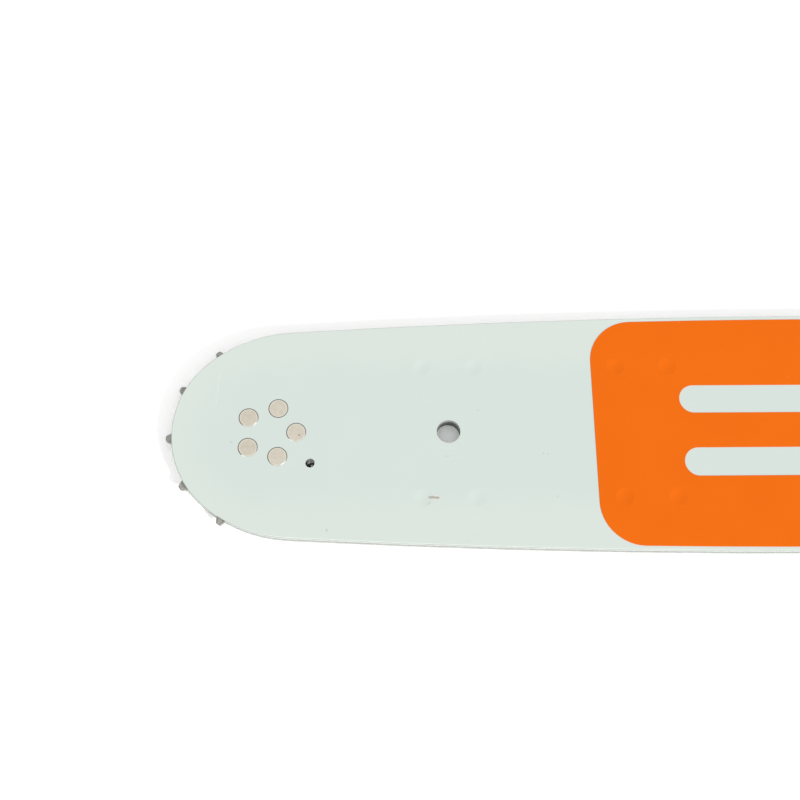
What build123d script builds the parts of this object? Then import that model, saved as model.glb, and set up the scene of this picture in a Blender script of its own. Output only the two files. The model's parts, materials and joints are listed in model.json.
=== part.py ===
from build123d import *
import math
import os

# A laminated chainsaw guide bar with a sprocket nose. It lies flat, nose towards -X.
# Lengths are in millimetres, angles in degrees. Until the last step the nose axis is at X = 0, Y = 0.

# Chain that the bar carries
chain_pitch = 8.255
chain_gauge = 1.6
strap_height = 4.9
tang_depth = 6.2

# Layers: two side plates welded to a core that is as thick as the chain gauge
plate_thickness = 1.55
groove_depth = 8.0
edge_chamfer = 0.2

# Outline
shoulder_rise = 2.29
shoulder_blend = 11.8
side_crown = 4.82
widest_from_axis = 155.0
axis_to_tail = 430.0
tail_drop = 7.2
tail_corner_radius = 16.0

# Saw mount at the tail
slot_width = 12.2
slot_length = 72.0
slot_mouth_radius = 2.5
tensioner_radius = 4.1
tensioner_web = 4.3
tensioner_from_tail = 54.0
oil_hole_radius = 1.6
oil_hole_from_tail = 36.0
oil_hole_floor = 0.6

# Holes near the nose
hang_hole_radius = 3.25
hang_hole_from_axis = 48.77
grease_hole_radius = 1.275
grease_hole_angle = -38.2

# Spot-weld dents, in groups of four, the first group around the hang hole
weld_radius = 2.5
weld_flat_radius = 0.6
weld_depth = 0.08
weld_row = 18.7
weld_pitch = 14.5
weld_group_pitch = 54.3
weld_end_margin = 20.0

# Nose sprocket
tooth_count = 12
tooth_reach = 1.72
tooth_tip_width = 1.35
tooth_tip_round = 0.5
tooth_flank_angle = 25.0
tooth_phase = 2.12
sprocket_side_play = 0.1
pocket_gap = 1.0

# Roller bearing inside the sprocket
roller_count = 14
roller_radius = 1.2
roller_chamfer = 0.12
roller_phase = -36.0
track_radius = 14.1
bearing_play = 0.03
cage_gap = 0.3
cage_floor = 0.25
cage_end_play = 0.05
cage_pocket_play = 0.06

# Rivets through the bearing race, flush below and a little proud above
rivet_count = 5
rivet_circle_radius = 7.22
rivet_shank_radius = 2.0
rivet_head_radius = 2.6
rivet_head_depth = 0.7
rivet_head_rise = 0.1
rivet_head_chamfer = 0.15
rivet_shank_play = 0.05
rivet_head_ring = 0.12

# Printed panel on the upper face, with two bare stripes
print_thickness = 0.06
print_margin = 1.1
print_from_axis = 88.85
print_length = 232.0
print_corner_radius = 12.0
stripe_width = 8.0
stripe_row = 9.0
stripe_inset = 24.0

# Sizes that follow from those above
nose_radius = chain_pitch / (2 * math.sin(math.pi / (2 * tooth_count))) - strap_height
tip_radius = nose_radius + tooth_reach
root_radius = nose_radius - tang_depth
half_width = nose_radius + shoulder_rise + side_crown
shoulder_radius = nose_radius + shoulder_blend
front_radius = (widest_from_axis**2 + side_crown**2) / (2 * side_crown)
rear_length = axis_to_tail - widest_from_axis
rear_radius = (rear_length**2 + tail_drop**2) / (2 * tail_drop)
slot_end = axis_to_tail - slot_length
race_radius = track_radius - roller_radius - bearing_play
bore_radius = track_radius + roller_radius + bearing_play
core_top = plate_thickness + chain_gauge
bar_thickness = core_top + plate_thickness
front_centre = Vector(widest_from_axis, half_width - front_radius)
rear_centre = Vector(widest_from_axis, half_width - rear_radius)


def polar(radius, angle):
    """Point at a radius and an angle from the nose axis."""
    return Vector(radius * math.cos(math.radians(angle)), radius * math.sin(math.radians(angle)))


def turned(count, phase=0.0):
    """Angles of equal steps around the nose axis."""
    return [phase + 360.0 * step / count for step in range(count)]


def shoulder_centre():
    """Centre of the arc that touches the nose arc and the front side arc from inside."""
    from_nose = shoulder_radius - nose_radius
    from_side = front_radius - shoulder_radius
    apart = front_centre.length
    along = (from_nose**2 - from_side**2 + apart**2) / (2 * apart)
    across = math.sqrt(from_nose**2 - along**2)
    unit = front_centre.normalized()
    return unit * along + Vector(-unit.Y, unit.X) * across


def rear_half_width(x):
    """Half the bar's width at a place behind its widest section."""
    return rear_centre.Y + math.sqrt(rear_radius**2 - (x - widest_from_axis) ** 2)


def arc_about(centre, radius, start, end):
    """Short arc about a centre, between the directions of two points."""
    middle = (start - centre).normalized() + (end - centre).normalized()
    return ThreePointArc(start, centre + middle.normalized() * radius, end)


def outline(inset=0.0):
    """Bar outline with its long sides moved inwards and its tail end left in place."""
    nose = Vector(0, 0)
    shoulder = shoulder_centre()
    nose_end = nose - shoulder.normalized() * (nose_radius - inset)
    side_start = shoulder + (shoulder - front_centre).normalized() * (shoulder_radius - inset)
    widest = Vector(widest_from_axis, half_width - inset)
    rear_reach = rear_radius - inset
    tail = Vector(axis_to_tail, rear_centre.Y + math.sqrt(rear_reach**2 - rear_length**2))
    upper = [
        arc_about(nose, nose_radius - inset, Vector(inset - nose_radius, 0), nose_end),
        arc_about(shoulder, shoulder_radius - inset, nose_end, side_start),
        arc_about(front_centre, front_radius - inset, side_start, widest),
        arc_about(rear_centre, rear_reach, widest, tail),
        Line(tail, Vector(axis_to_tail, 0)),
    ]
    half = make_face(upper + [Line(Vector(axis_to_tail, 0), Vector(inset - nose_radius, 0))])
    return half + mirror(half, about=Plane.XZ)


def tail_corners(face):
    """Vertices at the far tail end of a face."""
    return face.vertices().group_by(Axis.X)[-1]


def stud_slot():
    """Open-ended slot for the bar studs, as a flat shape that runs past the tail."""
    straight = slot_length - slot_width / 2
    middle = slot_end + slot_width / 2
    run = Pos(middle + straight, 0) * Rectangle(2 * straight, slot_width)
    return run + Pos(middle, 0) * Circle(slot_width / 2)


def through_holes():
    """Holes that pass through all three layers, as a flat shape."""
    tensioner_y = slot_width / 2 + tensioner_web + tensioner_radius
    holes = stud_slot() + Pos(hang_hole_from_axis, 0) * Circle(hang_hole_radius)
    for side in (1, -1):
        holes += Pos(axis_to_tail - tensioner_from_tail, side * tensioner_y) * Circle(tensioner_radius)
    return holes


def plate_holes():
    """Holes that only the side plates have, as a flat shape."""
    oil_x = axis_to_tail - oil_hole_from_tail
    oil_y = rear_half_width(oil_x) - groove_depth + oil_hole_floor + oil_hole_radius
    holes = Pos(polar(track_radius, grease_hole_angle)) * Circle(grease_hole_radius)
    for side in (1, -1):
        holes += Pos(oil_x, side * oil_y) * Circle(oil_hole_radius)
    for angle in turned(rivet_count):
        holes += Pos(polar(rivet_circle_radius, angle)) * Circle(rivet_shank_radius + rivet_shank_play)
    return holes


def plate_blank():
    """Outline of a side plate with rounded tail corners and the slot cut in."""
    blank = outline()
    blank = fillet(tail_corners(blank), tail_corner_radius) - stud_slot()
    mouth = blank.vertices().group_by(Axis.X)[-1].sort_by(lambda corner: abs(corner.Y))[:2]
    return fillet(mouth, slot_mouth_radius)


def weld_places():
    """Centres of the spot welds on one face."""
    room = slot_end - weld_end_margin - hang_hole_from_axis - weld_pitch / 2
    groups = int(room / weld_group_pitch) + 1
    places = []
    for group in range(groups):
        middle = hang_hole_from_axis + group * weld_group_pitch
        for x in (middle - weld_pitch / 2, middle + weld_pitch / 2):
            places += [Vector(x, weld_row), Vector(x, -weld_row)]
    return places


def weld_dents(face_height):
    """Blunt cones that press the shallow weld dents into a face at the given height."""
    electrode = Cone(weld_flat_radius, 2 * weld_radius - weld_flat_radius, 2 * weld_depth)
    return [Pos(place.X, place.Y, face_height) * electrode for place in weld_places()]


def side_plate():
    """Side plate with its inner face at Z = 0 and its outer face upwards."""
    plate = extrude(plate_blank() - through_holes() - plate_holes(), plate_thickness)
    rim = plate.faces().sort_by(Axis.Z)[-1].outer_wire().edges()
    plate = chamfer(rim, edge_chamfer)
    seat = Cylinder(
        rivet_head_radius + rivet_head_ring,
        2 * rivet_head_depth,
        align=(Align.CENTER, Align.CENTER, Align.CENTER),
    )
    for angle in turned(rivet_count):
        place = polar(rivet_circle_radius, angle)
        plate -= Pos(place.X, place.Y, plate_thickness) * seat
    return plate - weld_dents(plate_thickness)


def core_plate():
    """Core between the side plates, set back all round to leave the chain groove."""
    face = outline(groove_depth) & plate_blank()
    face -= through_holes()
    face -= Circle(tip_radius + pocket_gap)
    return Pos(0, 0, plate_thickness) * extrude(face, chain_gauge)


def tooth_gap():
    """Space between two teeth, on +X: straight flanks that end in a round root."""
    half_step = 180.0 / tooth_count
    lean = math.radians(tooth_flank_angle + half_step)
    corner_angle = half_step - math.degrees(math.atan2(tooth_tip_width / 2, tip_radius))
    corner = polar(math.hypot(tip_radius, tooth_tip_width / 2), corner_angle)
    sink = root_radius + corner.Y * math.cos(lean) - corner.X * math.sin(lean)
    middle = sink / (1 - math.sin(lean))
    round_radius = middle - root_radius
    touch = Vector(middle - round_radius * math.sin(lean), round_radius * math.cos(lean))
    mouth = touch + Vector(math.cos(lean), math.sin(lean)) * tip_radius
    flanks = Polygon(
        (touch.X, touch.Y),
        (touch.X, -touch.Y),
        (mouth.X, -mouth.Y),
        (mouth.X, mouth.Y),
        align=None,
    )
    return flanks + Pos(middle, 0) * Circle(round_radius)


def nose_sprocket():
    """Toothed ring that carries the chain around the nose."""
    gap = tooth_gap()
    ring = Circle(tip_radius)
    first_gap = tooth_phase + 180.0 + 180.0 / tooth_count
    for angle in turned(tooth_count, first_gap):
        ring -= Rot(0, 0, angle) * gap
    tips = ring.vertices().filter_by(lambda v: math.hypot(v.X, v.Y) > nose_radius)
    ring = fillet(tips, tooth_tip_round) - Circle(bore_radius)
    body = extrude(ring, chain_gauge - 2 * sprocket_side_play)
    return Pos(0, 0, plate_thickness + sprocket_side_play) * body


def bearing_race():
    """Fixed inner race, clamped between the side plates by the rivets."""
    face = Circle(race_radius)
    for angle in turned(rivet_count):
        face -= Pos(polar(rivet_circle_radius, angle)) * Circle(rivet_shank_radius + rivet_shank_play)
    return Pos(0, 0, plate_thickness) * extrude(face, chain_gauge)


def roller_cage():
    """Crown cage: a thin ring with posts that stand between the rollers."""
    ring = Circle(bore_radius - cage_gap) - Circle(race_radius + cage_gap)
    posts = ring
    for angle in turned(roller_count, roller_phase):
        posts -= Pos(polar(track_radius, angle)) * Circle(roller_radius + cage_pocket_play)
    height = chain_gauge - 2 * cage_end_play
    cage = extrude(posts, height) + extrude(ring, cage_floor)
    return Pos(0, 0, plate_thickness + cage_end_play) * cage


def roller(angle):
    """One bearing roller, standing on the cage's ring."""
    low = plate_thickness + 2 * cage_end_play + cage_floor
    body = extrude(Circle(roller_radius), core_top - cage_end_play - low)
    body = chamfer(body.edges().filter_by(GeomType.CIRCLE), roller_chamfer)
    place = polar(track_radius, angle)
    return Pos(place.X, place.Y, low) * body


def rivet_head(height):
    """Round rivet head with a chamfered rim at its top."""
    head = extrude(Circle(rivet_head_radius), height)
    rim = head.faces().sort_by(Axis.Z)[-1].edges()
    return chamfer(rim, rivet_head_chamfer)


def nose_rivets():
    """Rivets, each a shank with a head sunk into both side plates."""
    upper = Pos(0, 0, bar_thickness - rivet_head_depth) * rivet_head(rivet_head_depth + rivet_head_rise)
    lower = Pos(0, 0, rivet_head_depth) * mirror(rivet_head(rivet_head_depth), about=Plane.XY)
    shank = extrude(Circle(rivet_shank_radius), bar_thickness - 2 * rivet_head_depth)
    rivet = upper + lower + Pos(0, 0, rivet_head_depth) * shank
    places = [polar(rivet_circle_radius, angle) for angle in turned(rivet_count)]
    return Part() + [Pos(place) * rivet for place in places]


def printed_panel(plate):
    """Film of print on the upper plate that follows the weld dents under it."""
    print_end = print_from_axis + print_length
    window = Pos((print_from_axis + print_end) / 2, 0) * Rectangle(print_length, 4 * half_width)
    face = outline(print_margin) & window
    ends = face.vertices().group_by(Axis.X)
    face = fillet(ends[0] + ends[-1], print_corner_radius)
    stripe = SlotOverall(print_length - 2 * stripe_inset, stripe_width)
    for side in (1, -1):
        face -= Pos((print_from_axis + print_end) / 2, side * stripe_row) * stripe
    film = Pos(0, 0, bar_thickness - 2 * weld_depth) * extrude(face, 2 * weld_depth + print_thickness)
    return film - plate - weld_dents(bar_thickness + print_thickness)


def main():
    """Build every piece, centre the bar over its resting face and write one file for each."""
    plate = side_plate()
    upper = Pos(0, 0, core_top) * plate
    sprocket = nose_sprocket()
    nodes = {
        "upper_side_plate": upper,
        "lower_side_plate": Pos(0, 0, plate_thickness) * mirror(plate, about=Plane.XY),
        "core_plate": core_plate(),
        "nose_sprocket": sprocket,
        "bearing_race": bearing_race(),
        "roller_cage": roller_cage(),
        "nose_rivets": nose_rivets(),
        "printed_panel": printed_panel(upper),
    }
    for number, angle in enumerate(turned(roller_count, roller_phase), start=1):
        nodes[f"roller_{number:02d}"] = roller(angle)

    middle_x = (sprocket.bounding_box().min.X + axis_to_tail) / 2
    os.makedirs("parts", exist_ok=True)
    for name, shape in nodes.items():
        export_step(Pos(-middle_x, 0, 0) * shape, f"parts/{name}.step")
    print(f"nose axis at X = {-middle_x:.4f}")


if __name__ == "__main__":
    main()
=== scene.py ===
"""Studio picture of a chainsaw guide bar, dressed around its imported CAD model.

Lengths are metres in the CAD frame, unless a name ends in _mm. The finishes are set out in
millimetres from the axis of the nose sprocket, because the bar's details lie around it.
"""

from __future__ import annotations

import json
import logging
import math
from dataclasses import dataclass, field
from enum import Enum

import bpy
from mathutils import Matrix, Vector

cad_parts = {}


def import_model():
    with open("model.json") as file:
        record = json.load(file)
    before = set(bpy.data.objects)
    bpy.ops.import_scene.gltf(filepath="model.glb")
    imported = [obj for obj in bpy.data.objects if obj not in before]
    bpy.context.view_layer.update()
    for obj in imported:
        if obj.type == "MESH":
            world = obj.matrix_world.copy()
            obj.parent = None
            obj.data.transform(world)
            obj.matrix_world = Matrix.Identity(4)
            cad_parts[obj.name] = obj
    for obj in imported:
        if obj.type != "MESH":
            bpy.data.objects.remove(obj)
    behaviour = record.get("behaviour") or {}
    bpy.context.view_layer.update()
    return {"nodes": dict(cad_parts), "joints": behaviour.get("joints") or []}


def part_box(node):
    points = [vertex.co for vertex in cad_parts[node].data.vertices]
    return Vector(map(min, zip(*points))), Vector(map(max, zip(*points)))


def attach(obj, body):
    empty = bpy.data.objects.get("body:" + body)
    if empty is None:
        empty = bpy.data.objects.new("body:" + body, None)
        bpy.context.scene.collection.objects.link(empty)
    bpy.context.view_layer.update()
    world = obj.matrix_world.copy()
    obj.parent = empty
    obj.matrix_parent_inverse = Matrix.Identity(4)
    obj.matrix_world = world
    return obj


LOG = logging.getLogger("guide_bar")
MM = 0.001
SMOOTH_ANGLE = math.radians(40)

# Sockets of a mix node that blends colours: three inputs, then its output
MIX_SHARE, MIX_FIRST, MIX_SECOND = 0, 6, 7
MIX_COLOUR = 2

Socket = bpy.types.NodeSocket
Source = bpy.types.NodeSocket | float | Vector | tuple
Colour = tuple[float, float, float, float]
Triple = tuple[float, float, float]
Span = tuple[float, float]

ORIGIN: Triple = (0.0, 0.0, 0.0)
RISE: Span = (0.0, 1.0)
FALL: Span = (1.0, 0.0)

# Parts of a noise's range that a ramp spreads over, from soft blotches to clear ones
NOISE_MEAN = 0.5
NOISE_SOFT: Span = (0.2, 0.8)
NOISE_EVEN: Span = (0.3, 0.7)
NOISE_CLEAR: Span = (0.35, 0.65)


class Body(Enum):
    """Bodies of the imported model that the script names."""

    BAR = "bar"
    SPROCKET = "sprocket"


class Slot(Enum):
    """Material slots of the record."""

    PAINT = "pale_paint"
    BEARING = "bearing_steel"


class SocketKind(Enum):
    """Kinds of socket on a shared effect."""

    VALUE = "NodeSocketFloat"
    VECTOR = "NodeSocketVector"


class Grain(Enum):
    """How many finer layers a noise has."""

    SOFT = 2.0
    FINE = 3.0
    FINEST = 4.0


def srgb(red: int, green: int, blue: int) -> Colour:
    """Turn a colour as a screen shows it into a linear one, by the standard curve.

    Args:
        red: Red, 0 to 255.
        green: Green, 0 to 255.
        blue: Blue, 0 to 255.

    Returns:
        The linear colour, with full alpha.
    """
    linear = []
    for level in (red, green, blue):
        share = level / 255
        linear.append(share / 12.92 if share <= 0.04045 else ((share + 0.055) / 1.055) ** 2.4)
    return (linear[0], linear[1], linear[2], 1.0)


class NodeSheet:
    """A node tree with short calls for the nodes that the finishes are made of."""

    def __init__(self, tree: bpy.types.NodeTree) -> None:
        """Keep the tree that the calls add to."""
        self.tree = tree

    def add(self, kind: str, **settings: object) -> bpy.types.Node:
        """Add one node.

        Args:
            kind: Blender's name for the node.
            **settings: Properties to set on it.

        Returns:
            The new node.
        """
        node = self.tree.nodes.new(kind)
        for name, value in settings.items():
            setattr(node, name, value)
        return node

    def feed(self, socket: Socket, source: Source) -> None:
        """Link a socket to another, or set it to a plain value.

        Args:
            socket: The input to feed.
            source: An output to link, or a value.
        """
        if isinstance(source, bpy.types.NodeSocket):
            self.tree.links.new(source, socket)
        else:
            socket.default_value = source

    def fill(self, node: bpy.types.Node, inputs: dict[str, Source]) -> None:
        """Feed several inputs of a node.

        Args:
            node: The node.
            inputs: What feeds each input, by name.
        """
        for name, source in inputs.items():
            self.feed(node.inputs[name], source)

    def work_out(self, kind: str, operation: str, first: Source, second: Source) -> bpy.types.Node:
        """Add a node for one sum of two terms.

        Args:
            kind: Blender's name for the node.
            operation: Blender's name for the sum.
            first: First term.
            second: Second term.

        Returns:
            The new node.
        """
        node = self.add(kind, operation=operation)
        self.feed(node.inputs[0], first)
        self.feed(node.inputs[1], second)
        return node

    def math(self, operation: str, first: Source, second: Source = 0.0) -> Socket:
        """Number that a sum of two numbers gives."""
        return self.work_out("ShaderNodeMath", operation, first, second).outputs[0]

    def vector(self, operation: str, first: Source, second: Source = ORIGIN) -> Socket:
        """Vector that a sum of two vectors gives."""
        return self.work_out("ShaderNodeVectorMath", operation, first, second).outputs["Vector"]

    def measure(self, operation: str, first: Source, second: Source = ORIGIN) -> Socket:
        """Number that a sum of two vectors gives."""
        return self.work_out("ShaderNodeVectorMath", operation, first, second).outputs["Value"]

    def length(self, vector: Source) -> Socket:
        """Length of a vector."""
        return self.measure("LENGTH", vector)

    def split(self, vector: Source) -> tuple[Socket, Socket, Socket]:
        """Take a vector apart.

        Args:
            vector: The vector.

        Returns:
            Its parts along X, Y and Z.
        """
        node = self.add("ShaderNodeSeparateXYZ")
        self.feed(node.inputs[0], vector)
        return node.outputs[0], node.outputs[1], node.outputs[2]

    def join(self, x: Source, y: Source, z: Source = 0.0) -> Socket:
        """Make a vector from its parts.

        Args:
            x: Its part along X.
            y: Its part along Y.
            z: Its part along Z.

        Returns:
            The vector's socket.
        """
        node = self.add("ShaderNodeCombineXYZ")
        for socket, part in zip(node.inputs, (x, y, z)):
            self.feed(socket, part)
        return node.outputs[0]

    def ramp(self, value: Source, span: Span, result: Span = RISE) -> Socket:
        """Ease from one number to another as a value rises.

        Args:
            value: The value that rises.
            span: Where the easing starts and ends.
            result: The numbers before its start and after its end.

        Returns:
            The result's socket.
        """
        node = self.add("ShaderNodeMapRange", interpolation_type="SMOOTHSTEP")
        limits = dict(zip(("From Min", "From Max", "To Min", "To Max"), (*span, *result)))
        self.fill(node, {"Value": value, **limits})
        return node.outputs["Result"]

    def blend(self, share: Source, first: Source, second: Source) -> Socket:
        """Blend two colours.

        Args:
            share: How much of the second colour shows, 0 to 1.
            first: First colour.
            second: Second colour.

        Returns:
            The blended colour's socket.
        """
        node = self.add("ShaderNodeMix", data_type="RGBA")
        self.feed(node.inputs[MIX_SHARE], share)
        self.feed(node.inputs[MIX_FIRST], first)
        self.feed(node.inputs[MIX_SECOND], second)
        return node.outputs[MIX_COLOUR]

    def shade(self, colour: Source, value: Source) -> Socket:
        """Brighten or darken a colour by a factor."""
        return self.vector("MULTIPLY", colour, self.join(value, value, value))

    def noise(self, position: Source, size: float, grain: Grain = Grain.SOFT) -> Socket:
        """Soft noise from 0 to 1.

        Args:
            position: Where it is read.
            size: Size of its blotches, in the position's unit.
            grain: How fine it is.

        Returns:
            The noise's socket.
        """
        node = self.add("ShaderNodeTexNoise")
        self.fill(node, {"Vector": position, "Scale": 1 / size, "Detail": grain.value})
        return node.outputs["Fac"]

    def use(self, effect: bpy.types.NodeTree, **inputs: Source) -> bpy.types.Node:
        """Place a shared effect.

        Args:
            effect: The node group.
            **inputs: What feeds its inputs, by name.

        Returns:
            The placed group.
        """
        node = self.add("ShaderNodeGroup", node_tree=effect)
        self.fill(node, inputs)
        return node

    def bump(self, height: Source, depth_mm: float) -> Socket:
        """Surface normal that follows a height.

        Args:
            height: The height, in any unit.
            depth_mm: What a height of 1 stands for.

        Returns:
            The normal's socket.
        """
        node = self.add("ShaderNodeBump")
        self.fill(node, {"Height": height, "Distance": depth_mm * MM})
        return node.outputs["Normal"]


@dataclass
class SharedEffects:
    """Node groups that the finishes use, each built once.

    Attributes:
        nose: Axis of the nose sprocket at half the bar's thickness.
        half_thickness_mm: Half the distance from the resting face to the painted face.
        bare_wall_mm: How far under a face the paint has ended.
        paint_fade: Part of that height over which it fades.
        drift_size: Size of the slow drift of a coat's tone, in grains.
        tear_mm: Size of the tears in a mark's edge.
        mark_edge: Where a mark fades out, as shares of its size.
        dust_cells: Range of a cell's chance over which specks appear.
        dust_size: Where a speck fades out, as shares of the specks' spacing.
        rivet_circle_mm: Radius of the circle that the rivets sit on.
        rivet_count: Number of rivets on it.
        open_rivet: Number, counted from the tail's side, of the rivet with painted shade all around
            it.
        shade_patch_mm: Size of the patches in the painted shade around the rivets.
        shade_reach: How far towards the lower, lit side the painted shade fades out, as cosines.
        weld_first_mm: Middle of the first group of spot welds, from the nose axis.
        weld_half_pitch_mm: Half the distance between the welds of a group.
        weld_group_mm: Distance from one group to the next.
        weld_groups: Number of groups.
        weld_row_mm: Distance of the two rows of welds from the bar's middle line.
        weld_radius_mm: Radius of a weld's dent.
    """

    nose: Vector
    half_thickness_mm: float
    bare_wall_mm: float = 0.15
    paint_fade: float = 0.4
    drift_size: float = 40.0
    tear_mm: float = 0.3
    mark_edge: Span = (0.6, 1.1)
    dust_cells: Span = (0.6, 0.9)
    dust_size: Span = (0.02, 0.06)
    rivet_circle_mm: float = 7.22
    rivet_count: int = 5
    open_rivet: int = 1
    shade_patch_mm: float = 1.6
    shade_reach: Span = (-0.85, -0.25)
    weld_first_mm: float = 48.77
    weld_half_pitch_mm: float = 7.25
    weld_group_mm: float = 54.3
    weld_groups: int = 6
    weld_row_mm: float = 18.7
    weld_radius_mm: float = 2.5
    bar_space: bpy.types.NodeTree = field(init=False)
    fine_relief: bpy.types.NodeTree = field(init=False)
    grind_lines: bpy.types.NodeTree = field(init=False)
    spot: bpy.types.NodeTree = field(init=False)
    dust: bpy.types.NodeTree = field(init=False)
    rivet_polar: bpy.types.NodeTree = field(init=False)
    rivet_shade: bpy.types.NodeTree = field(init=False)
    weld_dents: bpy.types.NodeTree = field(init=False)

    def __post_init__(self) -> None:
        """Build every group."""
        self.bar_space = self.make_bar_space()
        self.fine_relief = self.make_fine_relief()
        self.grind_lines = self.make_grind_lines()
        self.spot = self.make_spot()
        self.dust = self.make_dust()
        self.rivet_polar = self.make_rivet_polar()
        self.rivet_shade = self.make_rivet_shade()
        self.weld_dents = self.make_weld_dents()

    @staticmethod
    def start(
        name: str, inputs: dict[str, SocketKind], outputs: dict[str, SocketKind]
    ) -> tuple[NodeSheet, bpy.types.Node, bpy.types.Node]:
        """Open an empty group with named sockets.

        Args:
            name: Name of the group.
            inputs: Kind of each input, by name.
            outputs: Kind of each output, by name.

        Returns:
            The group's sheet, the node that gives its inputs and the node that takes its outputs.
        """
        tree = bpy.data.node_groups.new(name, "ShaderNodeTree")
        for label, kind in inputs.items():
            tree.interface.new_socket(label, in_out="INPUT", socket_type=kind.value)
        for label, kind in outputs.items():
            tree.interface.new_socket(label, in_out="OUTPUT", socket_type=kind.value)
        sheet = NodeSheet(tree)
        return sheet, sheet.add("NodeGroupInput"), sheet.add("NodeGroupOutput")

    def make_bar_space(self) -> bpy.types.NodeTree:
        """Place on the bar in millimetres, and a mask of its two outer faces.

        Returns:
            The node group.
        """
        outputs = {"Position": SocketKind.VECTOR, "Skin": SocketKind.VALUE}
        sheet, _, result = self.start("bar_space", {}, outputs)
        at = sheet.add("ShaderNodeTexCoord").outputs["Object"]
        from_nose = sheet.vector("SUBTRACT", at, self.nose)
        position = sheet.vector("MULTIPLY", from_nose, (1 / MM, 1 / MM, 1 / MM))
        height = sheet.math("ABSOLUTE", sheet.split(position)[2])
        bare = self.half_thickness_mm - self.bare_wall_mm
        painted = bare + self.paint_fade * self.bare_wall_mm
        sheet.fill(result, {"Position": position, "Skin": sheet.ramp(height, (bare, painted))})
        return sheet.tree

    def make_fine_relief(self) -> bpy.types.NodeTree:
        """Fine ripple of a sprayed or printed coat, and the slow drift of its tone.

        Returns:
            The node group.
        """
        inputs = {"Position": SocketKind.VECTOR, "Grain": SocketKind.VALUE}
        outputs = {"Relief": SocketKind.VALUE, "Drift": SocketKind.VALUE}
        sheet, given, result = self.start("fine_relief", inputs, outputs)
        grain = sheet.join(*[given.outputs["Grain"]] * 3)
        place = sheet.vector("DIVIDE", given.outputs["Position"], grain)
        relief = sheet.noise(place, 1.0, Grain.FINE)
        drift = sheet.noise(place, self.drift_size, Grain.FINE)
        sheet.fill(result, {"Relief": relief, "Drift": drift})
        return sheet.tree

    def make_grind_lines(self) -> bpy.types.NodeTree:
        """Fine lines that a grinding wheel leaves, long where the stretch is small.

        Returns:
            The node group.
        """
        inputs = {"Position": SocketKind.VECTOR, "Stretch": SocketKind.VECTOR}
        sheet, given, result = self.start("grind_lines", inputs, {"Lines": SocketKind.VALUE})
        place = sheet.vector("MULTIPLY", given.outputs["Position"], given.outputs["Stretch"])
        sheet.fill(result, {"Lines": sheet.noise(place, 1.0, Grain.FINEST)})
        return sheet.tree

    def make_spot(self) -> bpy.types.NodeTree:
        """One small mark with a ragged edge, on the upper side only.

        Returns:
            The node group.
        """
        inputs = {
            "Position": SocketKind.VECTOR,
            "Centre": SocketKind.VECTOR,
            "Reach": SocketKind.VECTOR,
            "Turn": SocketKind.VALUE,
            "Ragged": SocketKind.VALUE,
        }
        sheet, given, result = self.start("spot", inputs, {"Mask": SocketKind.VALUE})
        position = given.outputs["Position"]
        x, y, height = sheet.split(position)
        from_centre = sheet.vector("SUBTRACT", sheet.join(x, y), given.outputs["Centre"])
        turn = sheet.add("ShaderNodeVectorRotate", rotation_type="Z_AXIS")
        back = sheet.math("MULTIPLY", given.outputs["Turn"], -1.0)
        sheet.fill(turn, {"Vector": from_centre, "Angle": back})
        reach = sheet.length(sheet.vector("DIVIDE", turn.outputs["Vector"], given.outputs["Reach"]))
        tear = sheet.math("SUBTRACT", sheet.noise(position, self.tear_mm, Grain.FINE), NOISE_MEAN)
        edge = sheet.math("ADD", reach, sheet.math("MULTIPLY", tear, given.outputs["Ragged"]))
        upper = sheet.math("GREATER_THAN", height, 0.0)
        mask = sheet.math("MULTIPLY", sheet.ramp(edge, self.mark_edge, FALL), upper)
        sheet.fill(result, {"Mask": mask})
        return sheet.tree

    def make_dust(self) -> bpy.types.NodeTree:
        """Sparse specks of dust.

        Returns:
            The node group.
        """
        inputs = {"Position": SocketKind.VECTOR, "Spacing": SocketKind.VALUE}
        sheet, given, result = self.start("dust", inputs, {"Mask": SocketKind.VALUE})
        spacing = sheet.join(*[given.outputs["Spacing"]] * 3)
        place = sheet.vector("DIVIDE", given.outputs["Position"], spacing)
        cells = sheet.add("ShaderNodeTexVoronoi")
        sheet.fill(cells, {"Vector": place, "Scale": 1.0})
        chosen = sheet.ramp(sheet.split(cells.outputs["Color"])[0], self.dust_cells)
        near = sheet.ramp(cells.outputs["Distance"], self.dust_size, FALL)
        sheet.fill(result, {"Mask": sheet.math("MULTIPLY", chosen, near)})
        return sheet.tree

    def make_rivet_polar(self) -> bpy.types.NodeTree:
        """Place measured from the middle of the nearest rivet, and which rivet that is.

        Returns:
            The node group.
        """
        outputs = {
            "Across": SocketKind.VECTOR,
            "Radius": SocketKind.VALUE,
            "Number": SocketKind.VALUE,
        }
        sheet, given, result = self.start("rivet_polar", {"Position": SocketKind.VECTOR}, outputs)
        step = 2 * math.pi / self.rivet_count
        x, y, _ = sheet.split(given.outputs["Position"])
        number = sheet.math("ROUND", sheet.math("DIVIDE", sheet.math("ARCTAN2", y, x), step))
        angle = sheet.math("MULTIPLY", number, step)
        middle_x = sheet.math("MULTIPLY", sheet.math("COSINE", angle), self.rivet_circle_mm)
        middle_y = sheet.math("MULTIPLY", sheet.math("SINE", angle), self.rivet_circle_mm)
        across = sheet.vector("SUBTRACT", sheet.join(x, y), sheet.join(middle_x, middle_y))
        sheet.fill(result, {"Across": across, "Radius": sheet.length(across), "Number": number})
        return sheet.tree

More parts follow.
